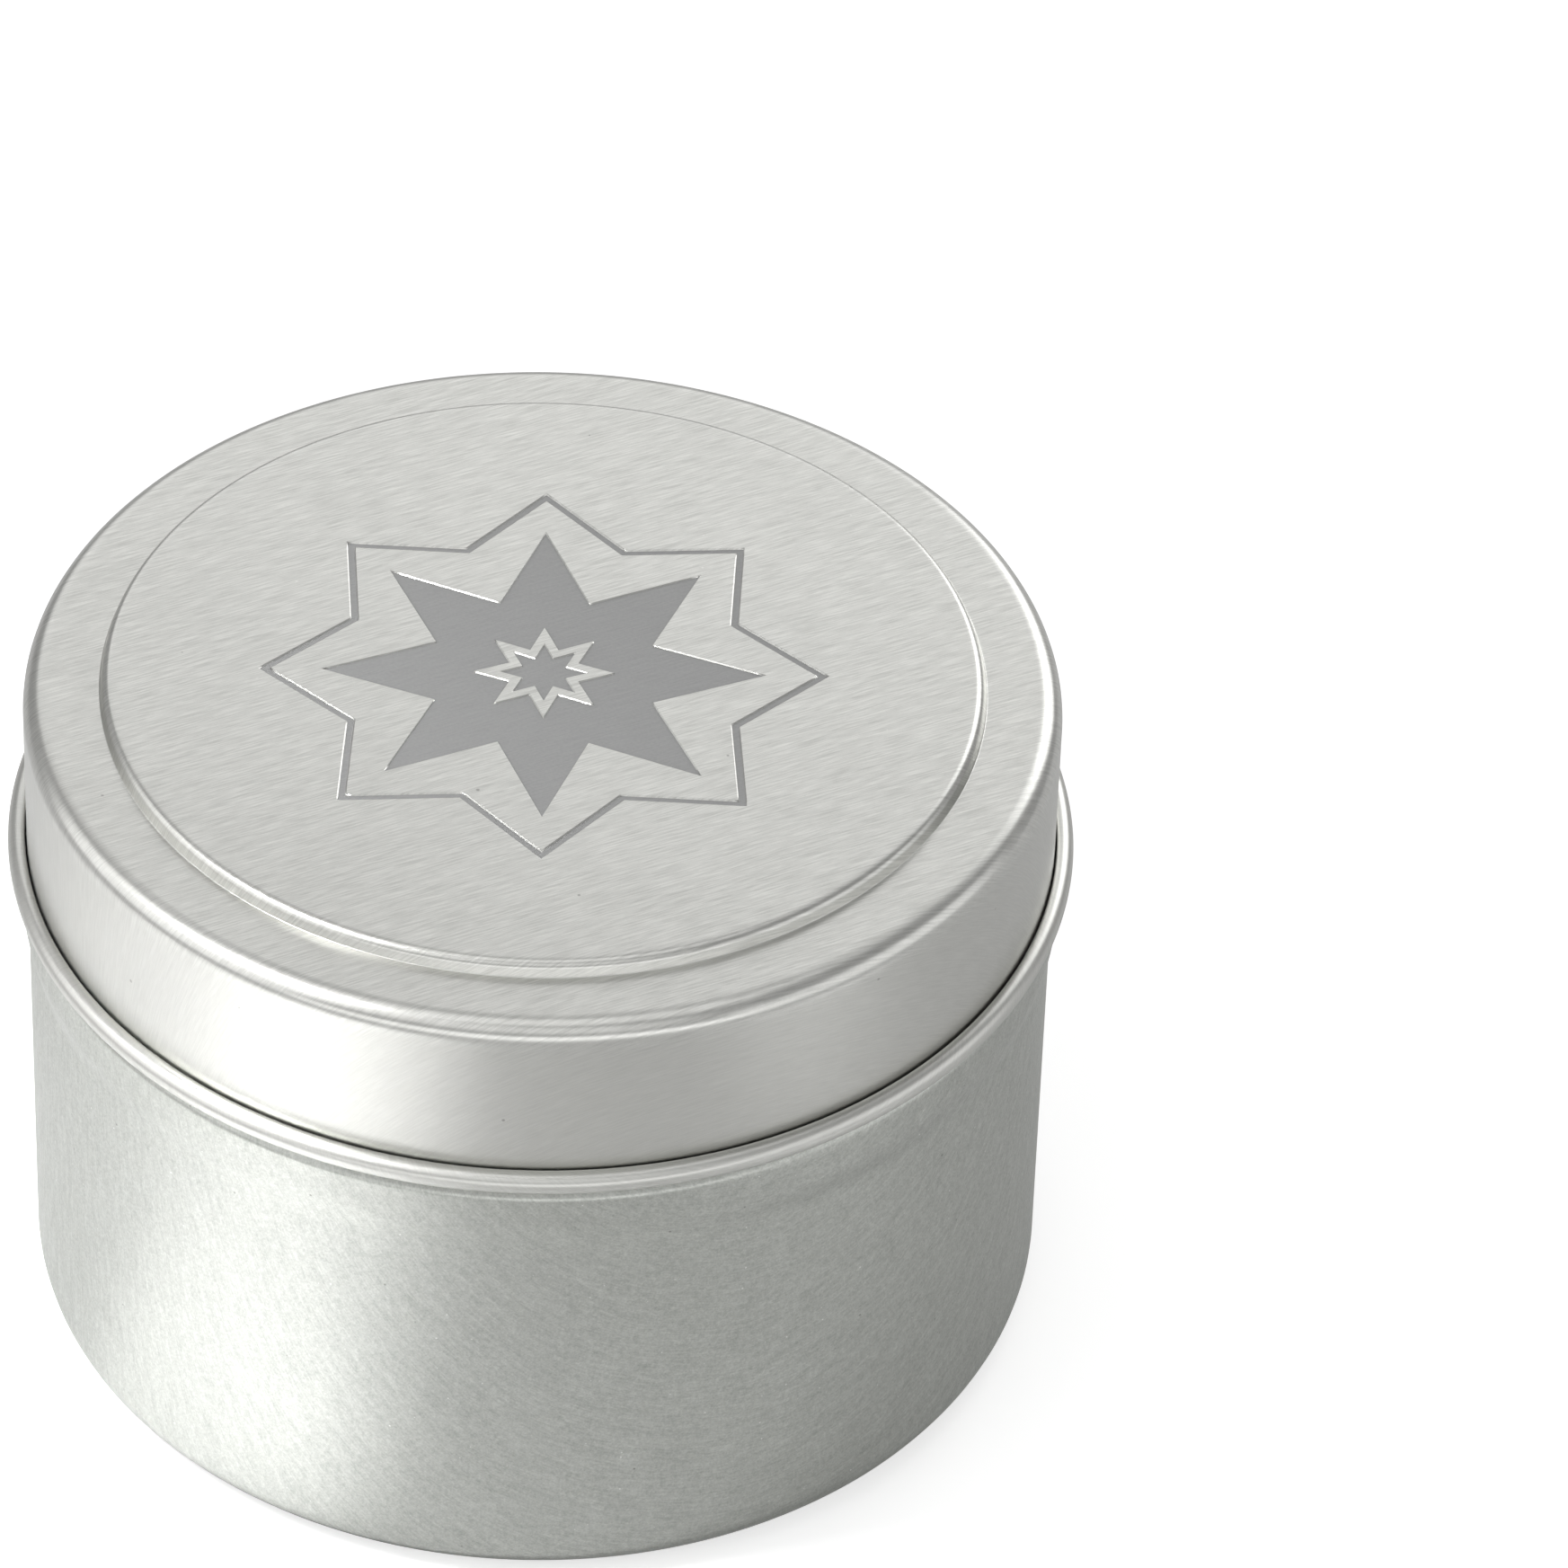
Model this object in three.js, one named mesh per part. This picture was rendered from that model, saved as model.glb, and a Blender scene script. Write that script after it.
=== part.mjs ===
// Candle tin: a drawn tinplate can with a slip lid, a poured wax fill and a cotton wick
// held by a stamped tab on a foam disc. Millimetres, +Z up, origin at the centre of the base.

import * as THREE from 'three';

// Tinplate and modelling gaps
const sheet = 0.3;
const seatGap = 0.05;
const roundSegments = 40;
const smallSegments = 20;
const cornerSteps = 5;
const curlSteps = 8;
const flankSteps = 3;
const filletSteps = 3;
const riserSteps = 4;

// Can, measured on its outer face
const neckRadius = 30.85;
const rimHeight = 40.4;
const rimCurlRadius = 0.7;
const rimCurlEnd = 220;
const wallRadius = 31.35;
const baseCornerRadius = 2.8;
const beadRadius = 31.75;
const beadCrownTop = 32.1;
const beadCrownBottom = 29.7;
const beadShoulderRise = 0.7;
const beadFlankDrop = 1.4;
const basePanelRadius = 24.5;
const basePanelDepth = 0.5;
const basePanelSlope = 0.7;

// Lid, measured on its outer face
const skirtRadius = 31.35;
const ringHeight = 44.8;
const lidCornerRadius = 1.3;
const panelRise = 0.9;
const panelRadius = 25.8;
const riserWidth = 0.95;
const hemBottom = 32.55;
const hemCurlRadius = 0.725;
const hemCurlEnd = 468;

// Wax, wick and what holds the wick
const waxLevel = 35;
const wickRadius = 1.35;
const wickTipRadius = 1.95;
const wickExposed = 9.8;
const wickTipLength = 4.6;
const stickerRadius = 9;
const stickerThickness = 1;
const tabRadius = 10;
const tabNeckHeight = 6;
const tabNeckFillet = 0.5;

// Heights of the stack under the wick, from the can's base up
const stickerBottom = basePanelDepth + sheet + seatGap;
const tabBottom = stickerBottom + stickerThickness + seatGap;
const tabTop = tabBottom + sheet;

// Points along an arc, angles in degrees measured from +R towards +Z.
function arc(centreR, centreZ, radius, fromDeg, toDeg, steps) {
  const points = [];
  for (let i = 0; i <= steps; i += 1) {
    const angle = THREE.MathUtils.degToRad(fromDeg + (toDeg - fromDeg) * i / steps);
    points.push(new THREE.Vector2(centreR + radius * Math.cos(angle), centreZ + radius * Math.sin(angle)));
  }
  return points;
}

// Points along a smooth step between two places: the radius follows half a cosine wave over the height,
// or the height follows it over the radius when the step is a flat one.
function smoothStep(fromR, fromZ, toR, toZ, steps, flat = false) {
  const points = [];
  for (let i = 0; i <= steps; i += 1) {
    const even = i / steps;
    const eased = (1 - Math.cos(Math.PI * even)) / 2;
    const r = THREE.MathUtils.lerp(fromR, toR, flat ? even : eased);
    const z = THREE.MathUtils.lerp(fromZ, toZ, flat ? eased : even);
    points.push(new THREE.Vector2(r, z));
  }
  return points;
}

// A path moved sideways by a distance, to its left when the distance is positive.
function offsetPath(path, distance) {
  return path.map((point, i) => {
    const before = point.clone().sub(path[Math.max(i - 1, 0)]).normalize();
    const after = path[Math.min(i + 1, path.length - 1)].clone().sub(point).normalize();
    const first = i === 0 ? after : before;
    const last = i === path.length - 1 ? before : after;
    const normal = new THREE.Vector2(-first.y - last.y, first.x + last.x);
    return point.clone().addScaledVector(normal, distance / (1 + first.dot(last)));
  });
}

// Drops points that lie on top of the one before.
function withoutRepeats(path) {
  return path.filter((point, i) => i === 0 || point.distanceTo(path[i - 1]) > 1e-6);
}

// A closed section of sheet metal whose outer face follows the path. The metal lies to the path's left
// when the thickness is positive.
function sheetSection(path, thickness) {
  const outer = withoutRepeats(path);
  const inner = offsetPath(outer, thickness).reverse();
  return [...outer, ...inner, outer[0].clone()];
}

// The section turned round the Z axis, wound so that its faces point out.
function turned(section, segments) {
  const area = section.reduce((sum, point, i) => {
    const next = section[(i + 1) % section.length];
    return sum + point.x * next.y - next.x * point.y;
  }, 0);
  const profile = area > 0 ? section : [...section].reverse();
  const geometry = new THREE.LatheGeometry(profile, segments);
  geometry.rotateX(Math.PI / 2);
  return geometry;
}

// Outer face of the can from the base centre up to a height on the neck.
function canOutline(topHeight) {
  return [
    new THREE.Vector2(0, basePanelDepth),
    ...smoothStep(basePanelRadius, basePanelDepth, basePanelRadius + basePanelSlope, 0, flankSteps, true),
    ...arc(wallRadius - baseCornerRadius, baseCornerRadius, baseCornerRadius, -90, 0, cornerSteps),
    ...smoothStep(wallRadius, beadCrownBottom - beadFlankDrop, beadRadius, beadCrownBottom, flankSteps),
    ...smoothStep(beadRadius, beadCrownTop, neckRadius, beadCrownTop + beadShoulderRise, flankSteps),
    new THREE.Vector2(neckRadius, topHeight),
  ];
}

function tinBodyGeometry() {
  const curlCentre = rimHeight - rimCurlRadius;
  const path = [
    ...canOutline(curlCentre),
    ...arc(neckRadius - rimCurlRadius, curlCentre, rimCurlRadius, 0, rimCurlEnd, curlSteps),
  ];
  return turned(sheetSection(path, sheet), roundSegments);
}

function lidGeometry() {
  const panelHeight = ringHeight + panelRise;
  const hemCentreR = skirtRadius - sheet + hemCurlRadius;
  const path = [
    new THREE.Vector2(0, panelHeight),
    ...smoothStep(panelRadius, panelHeight, panelRadius + riserWidth, ringHeight, riserSteps, true),
    ...arc(skirtRadius - lidCornerRadius, ringHeight - lidCornerRadius, lidCornerRadius, 90, 0, cornerSteps),
    ...arc(hemCentreR, hemBottom + hemCurlRadius, hemCurlRadius - sheet, 180, hemCurlEnd, curlSteps),
  ];
  return turned(sheetSection(path, -sheet), roundSegments);
}

// Wax fills the can up to its level, around the foam disc, the tab, the tab's neck and the wick.
function waxFillGeometry() {
  const tabEdge = tabRadius + seatGap;
  const neckEdge = wickRadius + sheet + 2 * seatGap;
  const neckTop = tabTop + tabNeckHeight + seatGap;
  const overTab = tabTop + seatGap;
  const againstCan = offsetPath(withoutRepeats(canOutline(waxLevel)), sheet + seatGap);
  againstCan[0].x = tabEdge;
  const aroundWick = [
    new THREE.Vector2(wickRadius + seatGap, waxLevel),
    new THREE.Vector2(wickRadius + seatGap, neckTop),
    new THREE.Vector2(neckEdge, neckTop),
    ...arc(neckEdge + tabNeckFillet, overTab + tabNeckFillet, tabNeckFillet, 180, 270, filletSteps),
    new THREE.Vector2(tabEdge, overTab),
  ];
  return turned([...againstCan, ...aroundWick, againstCan[0].clone()], roundSegments);
}

function wickStickerGeometry() {
  const stickerTop = stickerBottom + stickerThickness;
  const section = [
    new THREE.Vector2(0, stickerBottom),
    new THREE.Vector2(stickerRadius, stickerBottom),
    new THREE.Vector2(stickerRadius, stickerTop),
    new THREE.Vector2(0, stickerTop),
  ];
  return turned(section, smallSegments);
}

// A disc pressed up into a neck that grips the wick.
function wickSustainerGeometry() {
  const neckOuter = wickRadius + seatGap + sheet;
  const filletRadius = tabNeckFillet + seatGap;
  const path = [
    new THREE.Vector2(tabRadius, tabTop),
    ...arc(neckOuter + filletRadius, tabTop + filletRadius, filletRadius, 270, 180, filletSteps),
    new THREE.Vector2(neckOuter, tabTop + tabNeckHeight),
  ];
  return turned(sheetSection(path, sheet), smallSegments);
}

// The wick runs from the tab's underside through the wax, and ends in a thicker wax-dipped tip.
function wickGeometry() {
  const top = waxLevel + wickExposed;
  const swellStart = top - wickTipLength;
  const swellEnd = swellStart + wickTipLength / 3;
  const section = [
    new THREE.Vector2(0, tabBottom),
    new THREE.Vector2(wickRadius, tabBottom),
    ...smoothStep(wickRadius, swellStart, wickTipRadius, swellEnd, flankSteps),
    ...arc(0, top - wickTipRadius, wickTipRadius, 0, 90, cornerSteps),
  ];
  return turned(withoutRepeats(section), smallSegments);
}

function piece(name, geometry, color, roughness, metalness) {
  const material = new THREE.MeshStandardMaterial({ color, roughness, metalness });
  const mesh = new THREE.Mesh(geometry, material);
  mesh.name = name;
  return mesh;
}

const candleTin = new THREE.Group();
candleTin.name = 'candle_tin';
candleTin.add(
  piece('tin_body', tinBodyGeometry(), 0xb9bbb6, 0.45, 0.9),
  piece('lid', lidGeometry(), 0xc6c7c3, 0.35, 0.95),
  piece('wax_fill', waxFillGeometry(), 0xefe8cf, 0.5, 0),
  piece('wick', wickGeometry(), 0xe6d9c6, 0.9, 0),
  piece('wick_sustainer', wickSustainerGeometry(), 0xbfc1c2, 0.4, 0.9),
  piece('wick_sticker', wickStickerGeometry(), 0xf2f1ec, 0.85, 0),
);

export default candleTin;
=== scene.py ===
# Candle tin: a pressed tin with a slip lid, poured wax and a twisted cotton wick.
import math

import bpy
import numpy as np
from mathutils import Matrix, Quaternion, Vector


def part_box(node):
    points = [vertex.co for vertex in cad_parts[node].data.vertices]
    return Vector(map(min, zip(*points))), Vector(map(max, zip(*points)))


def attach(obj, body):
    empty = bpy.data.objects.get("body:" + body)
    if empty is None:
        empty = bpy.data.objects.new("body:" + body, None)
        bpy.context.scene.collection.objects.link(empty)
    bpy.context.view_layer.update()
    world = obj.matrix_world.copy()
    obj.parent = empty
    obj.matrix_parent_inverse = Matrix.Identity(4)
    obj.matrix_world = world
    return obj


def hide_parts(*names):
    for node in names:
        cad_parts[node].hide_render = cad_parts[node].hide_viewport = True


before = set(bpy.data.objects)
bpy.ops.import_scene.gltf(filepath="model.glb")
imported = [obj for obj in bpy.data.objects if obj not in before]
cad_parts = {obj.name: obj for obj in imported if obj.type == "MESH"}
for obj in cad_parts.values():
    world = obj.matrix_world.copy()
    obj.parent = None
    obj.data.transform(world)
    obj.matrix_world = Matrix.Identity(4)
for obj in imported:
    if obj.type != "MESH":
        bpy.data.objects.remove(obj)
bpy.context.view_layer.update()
mm = 0.001
sheet = 0.3                                     # tinplate thickness, mm


# Lowest and highest corner of a frame node, in millimetres.
def boxOf(node):
    return [np.array(corner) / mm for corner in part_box(node)]


tinLow, tinHigh = boxOf("tin_body")
lidLow, lidHigh = boxOf("lid")
waxLow, waxHigh = boxOf("wax_fill")
wickLow, wickHigh = boxOf("wick")
tabLow, tabHigh = boxOf("wick_sustainer")
tapeLow, tapeHigh = boxOf("wick_sticker")


# Points of a path with straight runs and rounded corners. Each corner is (radius out, height, rounding).
# The arc leaves the run rounding * tan(half the turn) before the corner and joins the next as far after it.
def roundedPath(corners, arcSteps=9):
    spots = np.array([corner[:2] for corner in corners], float)
    path = [spots[0]]
    for before, spot, after, corner in zip(spots[:-2], spots[1:-1], spots[2:], corners[1:-1]):
        comes = (spot - before) / np.linalg.norm(spot - before)
        goes = (after - spot) / np.linalg.norm(after - spot)
        turn = math.atan2(comes[0] * goes[1] - comes[1] * goes[0], comes @ goes)
        start = spot - comes * corner[2] * math.tan(abs(turn) / 2)
        arm = np.array([comes[1], -comes[0]]) * math.copysign(corner[2], turn)
        swing = np.linspace(0, turn, arcSteps)[:, None]
        path += list(start - arm + arm * np.cos(swing) + np.array([-arm[1], arm[0]]) * np.sin(swing))
    path.append(spots[-1])
    return np.array(path)


# Points on a circle about (out, up), between two angles in degrees.
def arcPath(out, up, radius, start, end, steps):
    angle = np.radians(np.linspace(start, end, steps))
    return np.stack([out + radius * np.cos(angle), up + radius * np.sin(angle)], 1)


# A smooth step between two places: the radius follows half a cosine wave over the height.
def easedPath(start, end, steps=15):
    share = np.linspace(0, 1, steps)
    eased = (1 - np.cos(np.pi * share)) / 2
    return np.stack([start[0] + (end[0] - start[0]) * eased, start[1] + (end[1] - start[1]) * share], 1)


# Adds points just inside both ends of every long straight run, so that smooth shading stays flat there.
def supported(path, near=0.15, longest=5.0):
    kept = [path[:1]]
    for here, there in zip(path[:-1], path[1:]):
        length = np.linalg.norm(there - here)
        if length > 5 * near:
            share = np.linspace(near, length - near, 2 + int(length // longest)) / length
            kept.append(here + np.outer(share, there - here))
        kept.append(there[None])
    return np.vstack(kept)


# Distance run along a path at each of its points.
def runLength(path):
    return np.concatenate([[0], np.cumsum(np.linalg.norm(np.diff(path, axis=0), axis=1))])


# A path moved sideways, to its left when the distance is positive. Each point moves along the mean of its
# two runs' normals, stretched by 2 / (1 + cosine between them), so that both runs keep the distance.
def offsetPath(path, distance):
    run = np.diff(path, axis=0)
    run /= np.linalg.norm(run, axis=1, keepdims=True)
    before = np.vstack([run[:1], run])
    after = np.vstack([run, run[-1:]])
    normal = np.stack([-before[:, 1] - after[:, 1], before[:, 0] + after[:, 0]], 1)
    return path + normal * distance / (1 + (before * after).sum(1, keepdims=True))


# Section of sheet metal about its middle line: the outer face, a round cut edge, and the inner face back.
# side is +1 when the outer face lies to the path's left. Also gives each point's run on the flat blank.
def sheetSection(path, side):
    outer = offsetPath(path, side * sheet / 2)
    inner = offsetPath(path, -side * sheet / 2)
    ahead = (path[-1] - path[-2]) / np.linalg.norm(path[-1] - path[-2])
    swing = np.linspace(0, np.pi, 7)[1:-1]
    edge = path[-1] + np.outer(np.cos(swing), outer[-1] - path[-1])
    edge += np.outer(np.sin(swing), ahead * sheet / 2)
    run = runLength(path)
    return np.vstack([outer, edge, inner[::-1]]), np.concatenate([run, np.full(5, run[-1]), run[::-1]])


# Angle of each column round the upright axis.
def turnAngles(columns):
    return np.linspace(0, 2 * np.pi, columns, endpoint=False)


# One value for a row, or one for every place on it, spread over all the columns.
def overColumns(values, columns):
    return np.broadcast_to(values.reshape(len(values), -1), (len(values), columns))


# A profile turned round the upright axis: x and y are the radius times cosine and sine of the angle.
def turnedGrid(radius, height, columns):
    angle = turnAngles(columns)
    radius = overColumns(radius, columns)
    return np.stack([radius * np.cos(angle), radius * np.sin(angle), overColumns(height, columns)], 2)


# Texture places on drawn sheet: where each point lay on the flat blank, at its run from the centre.
def blankSpread(run, columns):
    angle = turnAngles(columns)
    run = overColumns(run, columns)
    return np.stack([run * np.cos(angle), run * np.sin(angle)], 2)


# A closed mesh from a grid of rows by columns in millimetres. Columns wrap round. Rows wrap too on a ring,
# and otherwise the first and the last row are each one point. rowFinish is a material index for each row.
def gridPiece(name, grid, spread, finishes, ring=False, rowFinish=None):
    rows, columns = grid.shape[:2]
    row, column = np.meshgrid(np.arange(rows if ring else rows - 1), np.arange(columns), indexing="ij")
    row, column = row.ravel(), column.ravel()
    cornerRow = np.stack([row, row + 1, row + 1, row], 1) % rows
    cornerColumn = np.stack([column, column, column + 1, column + 1], 1) % columns
    index = cornerRow * columns + cornerColumn
    keep = np.ones(index.shape, bool)
    if not ring:
        index[cornerRow == 0] = 0
        index[cornerRow == rows - 1] = (rows - 1) * columns
        keep[row == 0, 3] = False
        keep[row == rows - 2, 2] = False
    used, compact = np.unique(index[keep], return_inverse=True)
    sizes = keep.sum(1)
    mesh = bpy.data.meshes.new(name)
    mesh.vertices.add(len(used))
    mesh.vertices.foreach_set("co", (grid.reshape(-1, 3)[used] * mm).astype(np.float32).ravel())
    mesh.loops.add(len(compact))
    mesh.loops.foreach_set("vertex_index", compact.astype(np.int32))
    mesh.polygons.add(len(sizes))
    mesh.polygons.foreach_set("loop_start", (np.cumsum(sizes) - sizes).astype(np.int32))
    mesh.polygons.foreach_set("loop_total", sizes.astype(np.int32))
    mesh.polygons.foreach_set("use_smooth", np.ones(len(sizes), bool))
    if rowFinish is not None:
        mesh.polygons.foreach_set("material_index", rowFinish[row].astype(np.int32))
    layer = mesh.uv_layers.new(name="spread")
    layer.data.foreach_set("uv", spread[cornerRow, cornerColumn][keep].astype(np.float32).ravel())
    mesh.update(calc_edges=True)
    turnOutward(mesh)
    for finish in finishes:
        mesh.materials.append(finish)
    piece = bpy.data.objects.new(name, mesh)
    bpy.context.scene.collection.objects.link(piece)
    return piece, used


# Flips all faces when the sum of centre . normal * area, three times the volume inside, is negative.
def turnOutward(mesh):
    centre, normal = np.empty(len(mesh.polygons) * 3), np.empty(len(mesh.polygons) * 3)
    area = np.empty(len(mesh.polygons))
    mesh.polygons.foreach_get("center", centre)
    mesh.polygons.foreach_get("normal", normal)
    mesh.polygons.foreach_get("area", area)
    if ((centre * normal).reshape(-1, 3).sum(1) * area).sum() < 0:
        mesh.flip_normals()


# Adds a node, sets its options, and links or sets its inputs.
def put(tree, kind, inputs=None, **options):
    made = tree.nodes.new("ShaderNode" + kind)
    for option, value in options.items():
        setattr(made, option, value)
    for socket, value in (inputs or {}).items():
        if isinstance(value, bpy.types.NodeSocket):
            tree.links.new(value, made.inputs[socket])
        else:
            made.inputs[socket].default_value = value
    return made


# A node group with named inputs, given as name: (socket kind, first value), and named outputs.
def newGroup(name, inputs, outputs):
    group = bpy.data.node_groups.new(name, "ShaderNodeTree")
    for label, (kind, value) in inputs.items():
        socket = group.interface.new_socket(label, in_out="INPUT", socket_type="NodeSocket" + kind)
        if value is not None:
            socket.default_value = value
    for label in outputs:
        group.interface.new_socket(label, in_out="OUTPUT", socket_type="NodeSocketFloat")
    entry = group.nodes.new("NodeGroupInput")
    leave = group.nodes.new("NodeGroupOutput")
    return group, entry.outputs, leave.inputs


# One sum on two values.
def math2(tree, operation, first, second, clamp=False):
    return put(tree, "Math", {0: first, 1: second}, operation=operation, use_clamp=clamp).outputs[0]


# Value moved from one range to another, held inside the new one.
def ranged(tree, value, fromLow, fromHigh, toLow, toHigh):
    inputs = {"Value": value, "From Min": fromLow, "From Max": fromHigh, "To Min": toLow, "To Max": toHigh}
    return put(tree, "MapRange", inputs).outputs["Result"]


# A place multiplied by one number.
def scaled(tree, place, factor):
    return put(tree, "VectorMath", {0: place, "Scale": factor}, operation="SCALE").outputs[0]


# Rolling grain: noise drawn out along the first axis of Place, fine streaks over broader ones.
def makeGrainGroup():
    inputs = {"Place": ("Vector", None), "Length": ("Float", 2.0), "Width": ("Float", 0.08)}
    group, given, out = newGroup("rollingGrain", inputs, ["Streaks", "Broad"])
    apart = put(group, "SeparateXYZ", {0: given["Place"]}).outputs
    streaks = []
    for longer, wider, detail in ((1.0, 1.0, 3.0), (2.6, 5.0, 1.0)):
        along = math2(group, "DIVIDE", apart["X"], math2(group, "MULTIPLY", given["Length"], longer))
        across = math2(group, "DIVIDE", apart["Y"], math2(group, "MULTIPLY", given["Width"], wider))
        place = put(group, "CombineXYZ", {"X": along, "Y": across}).outputs[0]
        noise = put(group, "TexNoise", {"Vector": place, "Scale": 1.0, "Detail": detail,
                                        "Roughness": 0.6}, noise_dimensions="2D")
        streaks.append(ranged(group, noise.outputs["Fac"], 0.28, 0.72, 0.0, 1.0))
    group.links.new(streaks[0], out["Streaks"])
    group.links.new(streaks[1], out["Broad"])
    return group


# Specks: the middles of random cells a Spacing apart, kept on a Share of the cells, of a given Size.
def makeSpeckGroup():
    inputs = {"Place": ("Vector", None), "Spacing": ("Float", 1.0), "Size": ("Float", 0.1),
              "Share": ("Float", 0.3)}
    group, given, out = newGroup("specks", inputs, ["Mask"])
    place = scaled(group, given["Place"], math2(group, "DIVIDE", 1.0, given["Spacing"]))
    cells = put(group, "TexVoronoi", {"Vector": place, "Scale": 1.0}, voronoi_dimensions="3D")
    pick = put(group, "SeparateColor", {0: cells.outputs["Color"]}).outputs
    size = math2(group, "MULTIPLY", given["Size"], ranged(group, pick["Green"], 0, 1, 0.4, 1.3))
    near = math2(group, "SUBTRACT", 1.0, math2(group, "DIVIDE", cells.outputs["Distance"], size), clamp=True)
    dot = ranged(group, near, 0.0, 0.45, 0.0, 1.0)
    chosen = math2(group, "LESS_THAN", pick["Red"], given["Share"])
    group.links.new(math2(group, "MULTIPLY", dot, chosen), out["Mask"])
    return group


# Unevenness: soft clouds of a given Span, and grit a Fineness wide.
def makeMottleGroup():
    inputs = {"Place": ("Vector", None), "Span": ("Float", 12.0), "Fineness": ("Float", 0.15)}
    group, given, out = newGroup("mottle", inputs, ["Clouds", "Grit"])
    for label, step, detail in (("Clouds", "Span", 2.0), ("Grit", "Fineness", 1.5)):
        place = scaled(group, given["Place"], math2(group, "DIVIDE", 1.0, given[step]))
        noise = put(group, "TexNoise", {"Vector": place, "Scale": 1.0, "Detail": detail}).outputs["Fac"]
        group.links.new(ranged(group, noise, 0.3, 0.7, 0.0, 1.0), out[label])
    return group


# Edge band for a change of roughness and a painted highlight: a soft band about one run length, broken up by
# grit. It is 1 at Middle and 0 a Reach away.
def makeEdgeBandGroup():
    inputs = {"Run": ("Float", 0.0), "Middle": ("Float", 0.0), "Reach": ("Float", 1.0),
              "Grit": ("Float", 0.5)}
    group, given, out = newGroup("edgeFinishAndHighlight", inputs, ["Mask"])
    away = math2(group, "ABSOLUTE", math2(group, "SUBTRACT", given["Run"], given["Middle"]), 0.0)
    band = math2(group, "SUBTRACT", 1.0, math2(group, "DIVIDE", away, given["Reach"]), clamp=True)
    broken = math2(group, "MULTIPLY", band, ranged(group, given["Grit"], 0, 1, 0.4, 1.0))
    group.links.new(broken, out["Mask"])
    return group


grainGroup = makeGrainGroup()
speckGroup = makeSpeckGroup()
mottleGroup = makeMottleGroup()
edgeBandGroup = makeEdgeBandGroup()


# Places a shared effect in a material with its own values.
def putGroup(tree, group, inputs):
    return put(tree, "Group", inputs, node_tree=group).outputs


# A material with its shader's fixed values, given by socket name with _ for each space.
def newMaterial(name, **values):
    material = bpy.data.materials.new(name)
    material.use_nodes = True
    shader = material.node_tree.nodes["Principled BSDF"]
    for socket, value in values.items():
        shader.inputs[socket.replace("_", " ")].default_value = value
    return material, material.node_tree, shader


# A value between two others, by its share of the second.
def mixed(tree, share, first, second):
    return put(tree, "Mix", {0: share, 2: first, 3: second}).outputs[0]


# Colour between two tones, by a mask.
def blended(tree, mask, first, second):
    mix = put(tree, "Mix", None, data_type="RGBA")
    for socket, value in ((0, mask), (6, first), (7, second)):
        if isinstance(value, bpy.types.NodeSocket):
            tree.links.new(value, mix.inputs[socket])
        elif socket:
            mix.inputs[socket].default_value = (*value, 1.0)
    return mix.outputs[2]


# Place on the piece in millimetres, from its own origin.
def placeInMm(tree):
    return scaled(tree, put(tree, "TexCoord").outputs["Object"], 1 / mm)


# Fine relief on a shader: its strength, its depth in millimetres and the pattern of its height.
def addRelief(tree, shader, strength, depth, height):
    bump = put(tree, "Bump", {"Strength": strength, "Distance": depth * mm, "Height": height})
    tree.links.new(bump.outputs[0], shader.inputs["Normal"])


# Links a colour to a shader, and a roughness if there is one.
def addFinish(tree, shader, colour, roughness=None):
    tree.links.new(colour, shader.inputs["Base Color"])
    if roughness is not None:
        tree.links.new(roughness, shader.inputs["Roughness"])


print("helpers and shared effects ready")


# The rolling grain is turned from X by so many degrees. Spans and depths are in millimetres.
tinplate = {
    "grainTurn": 25, "speck": (0.16, 0.155, 0.145), "glint": (0.95, 0.95, 0.93), "cloudSpan": 14.0,
    "patchSpan": 4.0, "coarseShare": 0.4, "patchShare": 0.4, "speckShare": 0.3, "glintShare": 0.35,
    "glintsAside": (3.1, 7.7, 5.3), "flatTo": 31.5, "calmOver": 2.0, "reliefDepth": 0.02,
}
# calm is how much of the pattern is left on the drawn wall, past flatTo along the blank
lidLook = {
    "dark": (0.480, 0.482, 0.460), "light": (0.745, 0.745, 0.715), "smooth": 0.30, "rough": 0.32,
    "bump": 0.03, "grainLength": 2.2, "grainWidth": 0.11, "gritShare": 0.15, "broadShare": 0.15,
    "cloudShare": 0.10, "fineGrit": 0.12, "coarseGrit": 0.35, "speckSpacing": 2.2, "speckSize": 0.05,
    "speckDepth": 0.5, "glintSpacing": 1.8, "glintSize": 0.05, "glintDepth": 0.25, "calm": 0.35,
}
bodyLook = {
    "dark": (0.345, 0.356, 0.334), "light": (0.650, 0.664, 0.629), "smooth": 0.33, "rough": 0.42,
    "bump": 0.32, "grainLength": 1.6, "grainWidth": 0.14, "gritShare": 0.68, "broadShare": 0.15,
    "cloudShare": 0.10, "fineGrit": 0.13, "coarseGrit": 0.36, "speckSpacing": 1.5, "speckSize": 0.07,
    "speckDepth": 0.6, "glintSpacing": 0.7, "glintSize": 0.09, "glintDepth": 0.60, "calm": 1.0,
}


# Coordinates on the flat blank, turned so that the rolling grain runs along X.
def rolledPlace(tree):
    spread = put(tree, "UVMap", uv_map="spread").outputs["UV"]
    turn = (0, 0, -math.radians(tinplate["grainTurn"]))
    return put(tree, "Mapping", {"Vector": spread, "Rotation": turn}).outputs[0]


# Distance from the centre of the flat blank.
def blankRun(tree):
    spread = put(tree, "UVMap", uv_map="spread").outputs["UV"]
    return put(tree, "VectorMath", {0: spread}, operation="LENGTH").outputs["Value"]


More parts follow.
